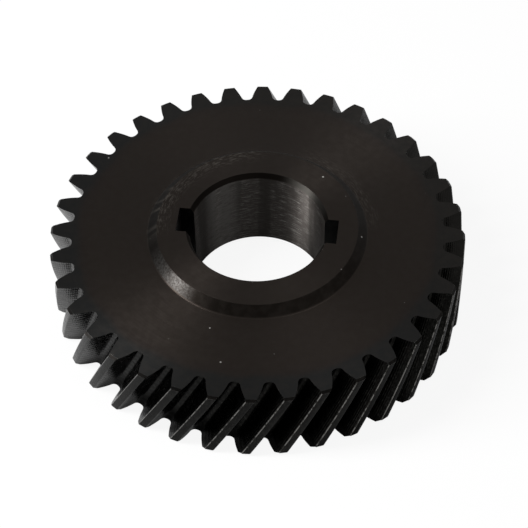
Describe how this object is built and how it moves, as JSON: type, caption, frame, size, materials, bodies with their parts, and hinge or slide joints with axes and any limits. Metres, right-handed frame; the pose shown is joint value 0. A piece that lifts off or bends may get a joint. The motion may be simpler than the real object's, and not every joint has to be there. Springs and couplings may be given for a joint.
{
  "type": "helical gear",
  "caption": "Black steel helical gear with a low conical hub boss, a chamfered bore and a pair of opposite keyways.",
  "frame": {"origin": "centre of the bore in the plain rear face of the gear", "axes": "+Z along the bore axis, out of the hub face; +X through the middle of one keyway"},
  "size_m": [0.0832, 0.0832, 0.0203],
  "materials": {
    "black_oxide_steel": "machined steel with a dark black-oxide finish"
  },
  "bodies": {
    "root": {"helical_gear": "black_oxide_steel"}
  },
  "joints": []
}
